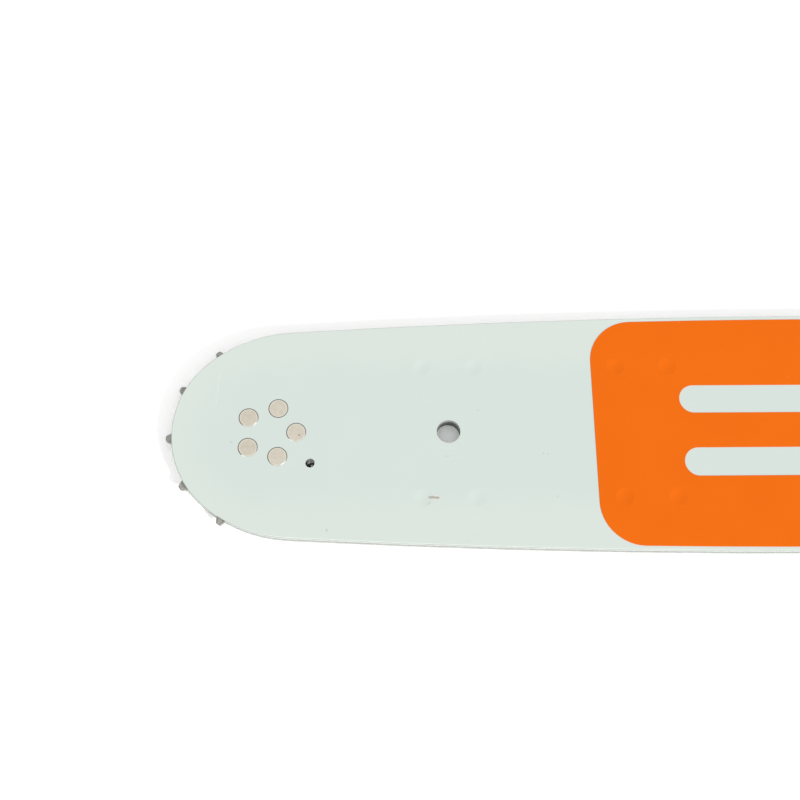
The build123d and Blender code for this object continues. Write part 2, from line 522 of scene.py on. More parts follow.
    def make_rivet_shade(self) -> bpy.types.NodeTree:
        """Mask of the painted shade around each rivet, in random patches, which leaves out its
        lower, lit side.

        Returns:
            The node group.
        """
        inputs = {"Position": SocketKind.VECTOR, "Lee": SocketKind.VECTOR}
        sheet, given, result = self.start("rivet_shade", inputs, {"Mask": SocketKind.VALUE})
        position = given.outputs["Position"]
        polar = sheet.use(self.rivet_polar, Position=position)
        towards = sheet.vector("NORMALIZE", polar.outputs["Across"])
        # Painted shade: each rivet is darker on the side that faces away from the lamp
        facing = sheet.measure("DOT_PRODUCT", towards, given.outputs["Lee"])
        patch = sheet.math("SUBTRACT", sheet.noise(position, self.shade_patch_mm), NOISE_MEAN)
        chosen = sheet.math("COMPARE", polar.outputs["Number"], float(self.open_rivet))
        total = sheet.math("ADD", sheet.math("ADD", facing, patch), chosen)
        sheet.fill(result, {"Mask": sheet.ramp(total, self.shade_reach)})
        return sheet.tree

    def make_weld_dents(self) -> bpy.types.NodeTree:
        """Depth of the spot welds' dents, 1 at the bottom of each.

        Returns:
            The node group.
        """
        inputs = {"Position": SocketKind.VECTOR}
        sheet, given, result = self.start("weld_dents", inputs, {"Depth": SocketKind.VALUE})
        half_group = self.weld_group_mm / 2
        x, y, _ = sheet.split(given.outputs["Position"])
        along = sheet.math("SUBTRACT", x, self.weld_first_mm)
        fold = sheet.math("PINGPONG", along, half_group)
        off_x = sheet.math("SUBTRACT", fold, self.weld_half_pitch_mm)
        off_y = sheet.math("SUBTRACT", sheet.math("ABSOLUTE", y), self.weld_row_mm)
        off = sheet.length(sheet.join(off_x, off_y))
        reach = sheet.math("DIVIDE", off, self.weld_radius_mm)
        hollow = sheet.math("SUBTRACT", 1.0, sheet.math("MULTIPLY", reach, reach))
        dish = sheet.math("MAXIMUM", hollow, 0.0)
        past_first = sheet.math("GREATER_THAN", along, -half_group)
        last = (2 * self.weld_groups - 1) * half_group
        before_last = sheet.math("LESS_THAN", along, last)
        inside = sheet.math("MULTIPLY", past_first, before_last)
        sheet.fill(result, {"Depth": sheet.math("MULTIPLY", dish, inside)})
        return sheet.tree


@dataclass(frozen=True)
class Finish:
    """Base of every finish.

    Attributes:
        name: Name of the material.
    """

    name: str

    def material(self, effects: SharedEffects) -> bpy.types.Material:
        """Make the material.

        Args:
            effects: The shared effects.

        Returns:
            The new material.
        """
        made = bpy.data.materials.new(self.name)
        made.use_nodes = True
        self.paint(NodeSheet(made.node_tree), made.node_tree.nodes["Principled BSDF"], effects)
        return made

    def paint(self, sheet: NodeSheet, surface: bpy.types.Node, effects: SharedEffects) -> None:
        """Feed the surface shader; each finish has its own way.

        Args:
            sheet: The material's nodes.
            surface: Its surface shader.
            effects: The shared effects.
        """
        raise NotImplementedError


@dataclass(frozen=True)
class Mark:
    """A small mark on the painted face, placed from the nose axis.

    Attributes:
        x_mm: Its middle along the bar.
        y_mm: Its middle across the bar.
        long_mm: Half its length.
        wide_mm: Half its width.
        turn_deg: How far its length is turned from the bar's.
        colour: Its colour.
        strength: How much of it shows.
        ragged: How far its edge wanders, as a share of its size.
    """

    x_mm: float
    y_mm: float
    long_mm: float
    wide_mm: float
    turn_deg: float
    colour: Colour
    strength: float
    ragged: float = 0.5

    def mask(self, sheet: NodeSheet, effects: SharedEffects, position: Socket) -> Socket:
        """Where the mark lies.

        Args:
            sheet: The material's nodes.
            effects: The shared effects.
            position: Place on the bar in millimetres.

        Returns:
            The mask, which is the mark's strength in its middle.
        """
        spot = sheet.use(
            effects.spot,
            Position=position,
            Centre=(self.x_mm, self.y_mm, 0.0),
            Reach=(self.long_mm, self.wide_mm, 1.0),
            Turn=math.radians(self.turn_deg),
            Ragged=self.ragged,
        )
        return sheet.math("MULTIPLY", spot.outputs["Mask"], self.strength)

    def lay(
        self, sheet: NodeSheet, effects: SharedEffects, position: Socket, under: Socket
    ) -> Socket:
        """Colour with the mark laid over it."""
        return sheet.blend(self.mask(sheet, effects, position), under, self.colour)


@dataclass(frozen=True)
class Dust:
    """Specks of dust in a coat.

    Attributes:
        colour: Colour of the specks.
        spacing_mm: Distance from one to the next.
        strength: How much of them shows.
    """

    colour: Colour
    spacing_mm: float
    strength: float

    def lay(
        self, sheet: NodeSheet, effects: SharedEffects, position: Socket, under: Socket
    ) -> Socket:
        """Lay the specks over a colour.

        Args:
            sheet: The material's nodes.
            effects: The shared effects.
            position: Place on the bar in millimetres.
            under: The colour under the specks.

        Returns:
            The colour with the specks on it.
        """
        specks = sheet.use(effects.dust, Position=position, Spacing=self.spacing_mm)
        share = sheet.math("MULTIPLY", specks.outputs["Mask"], self.strength)
        return sheet.blend(share, under, self.colour)


def outward(sheet: NodeSheet, position: Socket) -> Socket:
    """Distance from the line that runs back along the bar from the nose axis.

    Args:
        sheet: The material's nodes.
        position: Place on the bar in millimetres.

    Returns:
        The distance in millimetres.
    """
    x, y, _ = sheet.split(position)
    return sheet.length(sheet.join(sheet.math("MINIMUM", x, 0.0), y))


@dataclass(frozen=True)
class PalePaint(Finish):
    """Satin paint on the side plates, gone from their ground edges.

    Heights are measured from the middle of the bar's thickness.

    Attributes:
        middle: Colour along the bar's middle.
        rim: Colour towards its edges.
        rim_mm: Distances from the middle line between which the one becomes the other.
        drift: Factors on the colour between which it drifts.
        dust: Specks in the paint.
        steel_dark: Dark lines of the ground edge.
        steel_light: Bright lines of the ground edge.
        grind: How those lines run; small along them.
        wear_and_highlight: Factor on the edge next to the groove, which the chain keeps bright,
            with a painted highlight where the wall catches the lamp.
        wear_and_highlight_mm: Heights between which that factor fades.
        ledge: Colour of the groove's side, polished by the chain.
        ledge_mm: Heights between which that side ends.
        hole_lip: Walls of the holes near the upper face, where paint ran in.
        hole_shade: The same walls deeper down, bare steel darkened as painted shade.
        lip_mm: Heights between which the one becomes the other.
        tail_mm: Distances from the nose axis between which the tail's end begins.
        edge_mm: Distances from the middle line past which a wall is the ground edge.
        metallic: How much the bare walls mirror as metal.
        grain_mm: Size of the coat's ripple.
        ripple_mm: Depth of that ripple.
        roughness: Roughness between which the coat varies.
        gloss: Strength of the coat's reflections.
        marks: Small marks on the painted face.
    """

    middle: Colour = srgb(216, 227, 221)
    rim: Colour = srgb(220, 230, 223)
    rim_mm: Span = (14.0, 25.0)
    drift: Span = (0.996, 1.01)
    dust: Dust = Dust(srgb(150, 158, 152), 6.0, 0.25)
    steel_dark: Colour = srgb(164, 167, 162)
    steel_light: Colour = srgb(184, 187, 182)
    grind: Triple = (0.3, 0.3, 9.0)
    wear_and_highlight: float = 1.18
    wear_and_highlight_mm: Span = (1.35, 1.65)
    ledge: Colour = srgb(232, 234, 230)
    ledge_mm: Span = (0.81, 0.85)
    hole_lip: Colour = srgb(199, 211, 208)
    hole_shade: Colour = srgb(96, 96, 90)
    lip_mm: Span = (0.35, 0.95)
    tail_mm: Span = (429.0, 430.0)
    edge_mm: Span = (20.0, 25.0)
    metallic: float = 0.55
    grain_mm: float = 0.35
    ripple_mm: float = 0.006
    roughness: Span = (0.40, 0.48)
    gloss: float = 0.35
    marks: tuple[Mark, ...] = ()

    def paint(self, sheet: NodeSheet, surface: bpy.types.Node, effects: SharedEffects) -> None:
        """Paint on the faces, bare ground steel on the walls.

        Args:
            sheet: The material's nodes.
            surface: Its surface shader.
            effects: The shared effects.
        """
        space = sheet.use(effects.bar_space)
        position, skin = space.outputs["Position"], space.outputs["Skin"]
        coat = sheet.use(effects.fine_relief, Position=position, Grain=self.grain_mm)
        relief = coat.outputs["Relief"]
        edge = outward(sheet, position)
        colour = sheet.blend(sheet.ramp(edge, self.rim_mm), self.middle, self.rim)
        colour = sheet.shade(colour, sheet.ramp(coat.outputs["Drift"], NOISE_SOFT, self.drift))
        for layer in (self.dust, *self.marks):
            colour = layer.lay(sheet, effects, position, colour)
        wall = self.wall(sheet, effects, position, edge)
        bare = sheet.math("SUBTRACT", 1.0, skin)
        sheet.fill(
            surface,
            {
                "Base Color": sheet.blend(skin, wall, colour),
                "Metallic": sheet.math("MULTIPLY", bare, self.metallic),
                "Roughness": sheet.ramp(relief, NOISE_EVEN, self.roughness),
                "Normal": sheet.bump(relief, self.ripple_mm),
                "Specular IOR Level": self.gloss,
            },
        )

    def wall(
        self, sheet: NodeSheet, effects: SharedEffects, position: Socket, edge: Socket
    ) -> Socket:
        """Colour of the plate's walls: ground edges outside, steel with painted shade in the holes.

        Args:
            sheet: The material's nodes.
            effects: The shared effects.
            position: Place on the bar in millimetres.
            edge: Distance from the bar's middle line.

        Returns:
            The colour's socket.
        """
        along, _, height = sheet.split(position)
        depth = sheet.math("ABSOLUTE", height)
        lines = sheet.use(effects.grind_lines, Position=position, Stretch=self.grind)
        steel = sheet.blend(
            sheet.ramp(lines.outputs["Lines"], NOISE_CLEAR), self.steel_dark, self.steel_light
        )
        # Chain wear and painted highlight: the wall's band next to the groove is lighter
        steel = sheet.shade(steel, sheet.ramp(depth, self.wear_and_highlight_mm, (self.wear_and_highlight, 1.0)))
        steel = sheet.blend(sheet.ramp(depth, self.ledge_mm), self.ledge, steel)
        # Painted shade: the hole walls go dark below the painted lip
        inner = sheet.blend(sheet.ramp(height, self.lip_mm), self.hole_shade, self.hole_lip)
        tail_end = sheet.ramp(along, self.tail_mm)
        ground = sheet.math("MAXIMUM", sheet.ramp(edge, self.edge_mm), tail_end)
        return sheet.blend(ground, inner, steel)


@dataclass(frozen=True)
class OrangePrint(Finish):
    """Screen print in one flat colour with a fine mottle.

    Attributes:
        ink: Colour of the print.
        thin: Colour where the ink lies thinner.
        thin_noise: Part of the ripple's range over which the ink gets thinner.
        thin_share: How much of the thinner ink shows.
        drift: Factors on the colour between which it drifts.
        dust: Specks in the ink.
        grain_mm: Size of the ink's ripple.
        ripple_mm: Depth of that ripple.
        weld_mm: Depth that the ink adds to the weld dents under it.
        roughness: Roughness between which the ink varies.
        gloss: Strength of the ink's reflections.
    """

    ink: Colour = srgb(245, 112, 14)
    thin: Colour = srgb(246, 119, 32)
    thin_noise: Span = (0.4, 0.75)
    thin_share: Span = (0.0, 0.55)
    drift: Span = (0.98, 1.015)
    dust: Dust = Dust(srgb(250, 190, 150), 5.0, 0.2)
    grain_mm: float = 0.3
    ripple_mm: float = 0.006
    weld_mm: float = 0.05
    roughness: Span = (0.42, 0.52)
    gloss: float = 0.08

    def paint(self, sheet: NodeSheet, surface: bpy.types.Node, effects: SharedEffects) -> None:
        """Ink, thinner in spots, that deepens the weld dents under it.

        Args:
            sheet: The material's nodes.
            surface: Its surface shader.
            effects: The shared effects.
        """
        position = sheet.use(effects.bar_space).outputs["Position"]
        coat = sheet.use(effects.fine_relief, Position=position, Grain=self.grain_mm)
        relief = coat.outputs["Relief"]
        mottle = sheet.ramp(relief, self.thin_noise, self.thin_share)
        colour = sheet.blend(mottle, self.ink, self.thin)
        colour = sheet.shade(colour, sheet.ramp(coat.outputs["Drift"], NOISE_SOFT, self.drift))
        dents = sheet.use(effects.weld_dents, Position=position).outputs["Depth"]
        ripple = sheet.math("MULTIPLY", relief, self.ripple_mm)
        swell = sheet.math("SUBTRACT", ripple, sheet.math("MULTIPLY", dents, self.weld_mm))
        sheet.fill(
            surface,
            {
                "Base Color": self.dust.lay(sheet, effects, position, colour),
                "Roughness": sheet.ramp(relief, NOISE_EVEN, self.roughness),
                "Normal": sheet.bump(swell, 1.0),
                "Specular IOR Level": self.gloss,
            },
        )


@dataclass(frozen=True)
class RivetSteel(Finish):
    """Bare rivet heads with the rings of the tool that set them.

    Attributes:
        face: Colour of a head.
        stain: Colour of the blotches on it.
        bright: Colour of the painted highlight on each head's chamfer, laid as a ring.
        painted_shade: Colour of the painted shade at a head's edge.
        head_mm: Radius of a head.
        blotch_mm: Size of the blotches.
        blotch_noise: Part of the noise's range over which they appear.
        front_mm: Distances from the nose axis, towards the tail, between which the tone rises.
        front_tone: Factors on the colour before and after that.
        wobble_mm: Size of the waves in the tool's rings.
        wobble_reach_mm: How far these waves reach.
        ring_pitch_mm: Distance from one ring to the next.
        ring_tone: Factors on the colour in and between the rings.
        ring_depth_mm: How far the rings rise and sink.
        highlight_inset_mm: Distance of the painted highlight ring from the head's edge.
        highlight_mm: Where the painted highlight ring fades, from its middle.
        highlight_share: How much of the painted highlight shows.
        painted_shade_mm: Distances inside the head's edge where the painted shade begins and is
            full.
        roughness: Roughness of the face and of the blotches.
        metallic: How much the heads mirror as metal.
        shaded_side: Direction, across the bar, of the side in painted shade.
        marks: Small marks on the heads.
    """

    face: Colour = srgb(216, 208, 192)
    stain: Colour = srgb(209, 202, 186)
    bright: Colour = srgb(226, 221, 209)
    painted_shade: Colour = srgb(128, 126, 114)
    head_mm: float = 2.6
    blotch_mm: float = 0.9
    blotch_noise: Span = (0.4, 0.7)
    front_mm: Span = (-5.0, 2.0)
    front_tone: Span = (0.96, 1.0)
    wobble_mm: float = 0.8
    wobble_reach_mm: float = 0.25
    ring_pitch_mm: float = 0.6
    ring_tone: Span = (0.985, 1.01)
    ring_depth_mm: float = 0.002
    highlight_inset_mm: float = 0.2
    highlight_mm: Span = (0.06, 0.2)
    highlight_share: float = 0.7
    painted_shade_mm: Span = (0.16, 0.06)
    roughness: Span = (0.42, 0.55)
    metallic: float = 0.35
    shaded_side: Triple = (-0.3, 0.95, 0.0)
    marks: tuple[Mark, ...] = ()

    def paint(self, sheet: NodeSheet, surface: bpy.types.Node, effects: SharedEffects) -> None:
        """Rings and blotches around the middle of each head.

        Args:
            sheet: The material's nodes.
            surface: Its surface shader.
            effects: The shared effects.
        """
        position = sheet.use(effects.bar_space).outputs["Position"]
        radius = sheet.use(effects.rivet_polar, Position=position).outputs["Radius"]
        patches = sheet.noise(position, self.blotch_mm, Grain.FINE)
        blotch = sheet.ramp(patches, self.blotch_noise)
        colour = sheet.blend(blotch, self.face, self.stain)
        along = sheet.split(position)[0]
        colour = sheet.shade(colour, sheet.ramp(along, self.front_mm, self.front_tone))
        waves = sheet.math("MULTIPLY", sheet.noise(position, self.wobble_mm), self.wobble_reach_mm)
        wobble = sheet.math("ADD", radius, waves)
        turns = sheet.math("MULTIPLY", wobble, 2 * math.pi / self.ring_pitch_mm)
        rings = sheet.math("SINE", turns)
        colour = sheet.shade(colour, sheet.ramp(rings, (-1.0, 1.0), self.ring_tone))
        # Painted highlight: a lighter ring where the head's chamfer catches light
        from_ring = sheet.math("SUBTRACT", wobble, self.head_mm - self.highlight_inset_mm)
        highlight_ring = sheet.ramp(sheet.math("ABSOLUTE", from_ring), self.highlight_mm, FALL)
        highlight_ring = sheet.math("MULTIPLY", highlight_ring, self.highlight_share)
        colour = sheet.blend(highlight_ring, colour, self.bright)
        # Painted shade: a dark rim on each head, on its side away from the lamp
        shade_mask = sheet.use(effects.rivet_shade, Position=position, Lee=self.shaded_side).outputs["Mask"]
        begin, full = (self.head_mm - inset for inset in self.painted_shade_mm)
        edge = sheet.math("MULTIPLY", sheet.ramp(radius, (begin, full)), shade_mask)
        colour = sheet.blend(edge, colour, self.painted_shade)
        for mark in self.marks:
            colour = mark.lay(sheet, effects, position, colour)
        sheet.fill(
            surface,
            {
                "Base Color": colour,
                "Metallic": self.metallic,
                "Roughness": sheet.ramp(blotch, RISE, self.roughness),
                "Normal": sheet.bump(rings, self.ring_depth_mm),
            },
        )


@dataclass(frozen=True)
class DarkSteel(Finish):
    """Plain dark steel with grinding lines and a thin, uneven film of oil.

    Attributes:
        dark: Colour in the lines and under the oil.
        light: Colour of the bare metal.
        stretch: How the lines run; small along them.
        metallic: How much the surface mirrors as metal.
        sheen: Roughness of the bare metal.
        inside: Factor on the colour away from the bar's edges, a painted shade in the holes and
            between the plates.
        inside_shade_mm: Distances from the middle line between which that painted shade fades.
        line_noise: Part of the lines' range over which they appear.
        line_depth_mm: Depth of the lines.
        oil_mm: Size of the patches of oil.
        oil_noise: Part of the noise's range over which they appear.
        oil_share: How much the oil darkens.
        oil_sheen: Factor of the oil on the roughness.
    """

    dark: Colour = srgb(144, 143, 136)
    light: Colour = srgb(180, 179, 172)
    stretch: Triple = (2.0, 2.0, 8.0)
    metallic: float = 0.4
    sheen: float = 0.42
    inside: float = 1.0
    inside_shade_mm: Span = (10.0, 20.0)
    line_noise: Span = (0.6, 0.35)
    line_depth_mm: float = 0.004
    oil_mm: float = 5.0
    oil_noise: Span = (0.5, 0.7)
    oil_share: float = 0.5
    oil_sheen: float = 0.6

    def paint(self, sheet: NodeSheet, surface: bpy.types.Node, effects: SharedEffects) -> None:
        """Lines of the grinding wheel, darker where oil lies.

        Args:
            sheet: The material's nodes.
            surface: Its surface shader.
            effects: The shared effects.
        """
        position = sheet.use(effects.bar_space).outputs["Position"]
        grind = sheet.use(effects.grind_lines, Position=position, Stretch=self.stretch)
        lines = grind.outputs["Lines"]
        oil = sheet.ramp(sheet.noise(position, self.oil_mm, Grain.FINEST), self.oil_noise)
        film = sheet.math("MULTIPLY", oil, self.oil_share)
        shade = sheet.math("MAXIMUM", sheet.ramp(lines, self.line_noise), film)
        colour = sheet.blend(shade, self.light, self.dark)
        # Painted shade: darker away from the bar's edges
        depth = sheet.ramp(outward(sheet, position), self.inside_shade_mm, (self.inside, 1.0))
        roughness = (self.sheen, self.oil_sheen * self.sheen)
        sheet.fill(
            surface,
            {
                "Base Color": sheet.shade(colour, depth),
                "Metallic": self.metallic,
                "Roughness": sheet.ramp(oil, RISE, roughness),
                "Normal": sheet.bump(lines, self.line_depth_mm),
            },
        )


@dataclass(frozen=True)
class CrackFill(Finish):
    """Paint in the narrow gap around a rivet head, with painted shade on one side.

    Attributes:
        paint_colour: Colour where paint bridges the gap.
        painted_shade: Colour of the painted shade in the gap.
        shaded_side: Direction, across the bar, of the side in painted shade.
        lump_mm: Size of the filling's lumps.
        lump_depth_mm: Their height.
        roughness: Roughness of the paint and of the shaded part.
        marks: Small marks on the filling.
    """

    paint_colour: Colour = srgb(214, 222, 214)
    painted_shade: Colour = srgb(100, 100, 90)
    shaded_side: Triple = (-0.3, 0.95, 0.0)
    lump_mm: float = 0.4
    lump_depth_mm: float = 0.01
    roughness: Span = (0.45, 0.75)
    marks: tuple[Mark, ...] = ()

    def paint(self, sheet: NodeSheet, surface: bpy.types.Node, effects: SharedEffects) -> None:
        """Painted shade on one side of each rivet, fading into paint on the other.

        Args:
            sheet: The material's nodes.
            surface: Its surface shader.
            effects: The shared effects.
        """
        position = sheet.use(effects.bar_space).outputs["Position"]
        # Painted shade: the gap is dark on the side of each rivet away from the lamp
        shade_mask = sheet.use(effects.rivet_shade, Position=position, Lee=self.shaded_side).outputs["Mask"]
        colour = sheet.blend(shade_mask, self.paint_colour, self.painted_shade)
        for mark in self.marks:
            colour = mark.lay(sheet, effects, position, colour)
        lumps = sheet.noise(position, self.lump_mm)
        sheet.fill(
            surface,
            {
                "Base Color": colour,
                "Roughness": sheet.ramp(shade_mask, RISE, self.roughness),
                "Normal": sheet.bump(lumps, self.lump_depth_mm),
            },
        )


@dataclass(frozen=True)
class Grease(Finish):
    """Old black grease, whose near black also stands in as painted shade of the gap in the hole.

    Attributes:
        dark: Colour where it is thick.
        thin: Colour where it is smeared thin.
        thin_noise: Part of the lumps' range over which it gets thin.
        lump_mm: Size of its lumps.
        lump_depth_mm: Their height.
        roughness: Roughness between which it varies.
        gloss: Strength of its reflections.
        glints: Places where bright metal shows through.
    """

    dark: Colour = srgb(4, 5, 4)
    thin: Colour = srgb(18, 18, 16)
    thin_noise: Span = (0.5, 0.8)
    lump_mm: float = 0.5
    lump_depth_mm: float = 0.02
    roughness: Span = (0.2, 0.34)
    gloss: float = 0.3
    glints: tuple[Mark, ...] = ()

    def paint(self, sheet: NodeSheet, surface: bpy.types.Node, effects: SharedEffects) -> None:
        """Glossy and dark, with soft lumps.

        Args:
            sheet: The material's nodes.
            surface: Its surface shader.
            effects: The shared effects.
        """
        position = sheet.use(effects.bar_space).outputs["Position"]
        lumps = sheet.noise(position, self.lump_mm, Grain.FINE)
        colour = sheet.blend(sheet.ramp(lumps, self.thin_noise), self.dark, self.thin)
        bare: Source = 0.0
        for glint in self.glints:
            colour = glint.lay(sheet, effects, position, colour)
            bare = sheet.math("MAXIMUM", bare, glint.mask(sheet, effects, position))
        sheet.fill(
            surface,
            {
                "Base Color": colour,
                "Metallic": bare,
                "Roughness": sheet.ramp(lumps, NOISE_EVEN, self.roughness),
                "Normal": sheet.bump(lumps, self.lump_depth_mm),
                "Specular IOR Level": self.gloss,
            },
        )


def dress(
    nodes: dict[str, bpy.types.Object], names: list[str], material: bpy.types.Material
) -> None:
    """Give CAD nodes a finish and report them.

    Args:
        nodes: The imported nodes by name.
        names: The nodes to dress.
        material: Their finish.
    """
    for name in names:
        for slot in nodes[name].material_slots:
            slot.material = material
        LOG.info("%s: CAD node with finish %s", name, material.name)


def new_piece(name: str, material: bpy.types.Material, body: Body) -> None:
    """Finish the active object as a piece of the bar.

    Args:
        name: Name of the piece.
        material: Its finish.
        body: The body that it rides on.
    """
    piece = bpy.context.active_object
    bpy.ops.object.transform_apply(location=True, rotation=True, scale=True)
    bpy.ops.object.shade_smooth_by_angle(angle=SMOOTH_ANGLE)
    piece.name = name
    piece.data.materials.clear()
    piece.data.materials.append(material)
    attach(piece, body.value)
    LOG.info("%s: new piece on %s with finish %s", name, body.value, material.name)


@dataclass
class SidePlates:
    """The two painted plates that make the bar's faces.

    Attributes:
        rivet_slivers: Painted highlights at the rivets' lower edges.
        plates: Names of the plates' nodes.
        print_node: Name of the printed field's node.
        chip: Colour of the chip in the paint.
        bare: Colour of the metal in the chip.
        lip: Colour of the paint that curls up around the chip.
        smudge: Colour of the smudges.
        scratch: Colour of the scratches.
    """

    rivet_slivers: tuple[Mark, ...]
    plates: tuple[str, ...] = ("upper_side_plate", "lower_side_plate")
    print_node: str = "printed_panel"
    chip: Colour = srgb(180, 181, 172)
    bare: Colour = srgb(184, 175, 156)
    lip: Colour = srgb(235, 228, 216)
    smudge: Colour = srgb(200, 211, 205)
    scratch: Colour = srgb(230, 239, 236)

    def marks(self) -> tuple[Mark, ...]:
        """List the wear that the painted face has.

        Returns:
            A chip with its curled paint, then smudges and specks, then scratches.
        """
        return (
            Mark(44.93, -18.05, 1.0, 0.26, -8.0, self.lip, 0.6),
            Mark(44.92, -19.1, 1.4, 0.26, -4.0, self.lip, 0.6),
            Mark(43.89, -18.5, 1.2, 0.46, -3.0, self.chip, 0.95, 0.8),
            Mark(45.2, -18.62, 0.9, 0.4, -4.0, self.bare, 0.95, 0.7),
            Mark(43.0, -20.2, 0.8, 0.25, 35.0, self.smudge, 0.6),
            Mark(48.2, -7.05, 1.0, 0.22, 0.0, self.smudge, 0.5),
            Mark(15.75, -27.3, 0.35, 0.55, 0.0, self.smudge, 0.8),
            Mark(74.4, -6.4, 0.45, 0.22, 40.0, self.smudge, 0.9),
            Mark(75.6, -6.6, 0.4, 0.22, -40.0, self.smudge, 0.8),
            Mark(57.0, 6.05, 0.35, 0.3, 0.0, self.smudge, 0.7),
            Mark(-10.35, -2.7, 0.5, 0.28, 10.0, self.smudge, 0.9),
            Mark(-14.15, 16.35, 1.7, 0.24, 80.0, self.scratch, 0.5, 1.2),
            Mark(-14.55, 13.05, 1.8, 0.22, 86.0, self.scratch, 0.6, 1.2),
            Mark(-14.85, 9.45, 1.5, 0.2, 92.0, self.scratch, 0.5, 1.2),
        )

    def dress(self, nodes: dict[str, bpy.types.Object], effects: SharedEffects) -> None:
        """Paint the plates and print their colour field.

        Args:
            nodes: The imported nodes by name.
            effects: The shared effects.
        """
        paint = PalePaint("pale_satin_paint", marks=self.marks() + self.rivet_slivers)
        dress(nodes, list(self.plates), paint.material(effects))
        dress(nodes, [self.print_node], OrangePrint("orange_screen_print").material(effects))


@dataclass
class CorePlate:
    """The steel core that leaves the chain groove between the plates.

    Attributes:
        node: Name of the core's node.
        finish: Its oiled steel, ground along the bar, with painted shade away from the edges.
    """

    node: str = "core_plate"
    finish: DarkSteel = DarkSteel(
        "oiled_core_steel_with_painted_shade",
        dark=srgb(168, 167, 160),
        light=srgb(208, 207, 201),
        stretch=(0.3, 0.3, 6.0),
        inside=0.3,
    )

    def dress(self, nodes: dict[str, bpy.types.Object], effects: SharedEffects) -> None:
        """Give the core its oiled steel."""
        dress(nodes, [self.node], self.finish.material(effects))


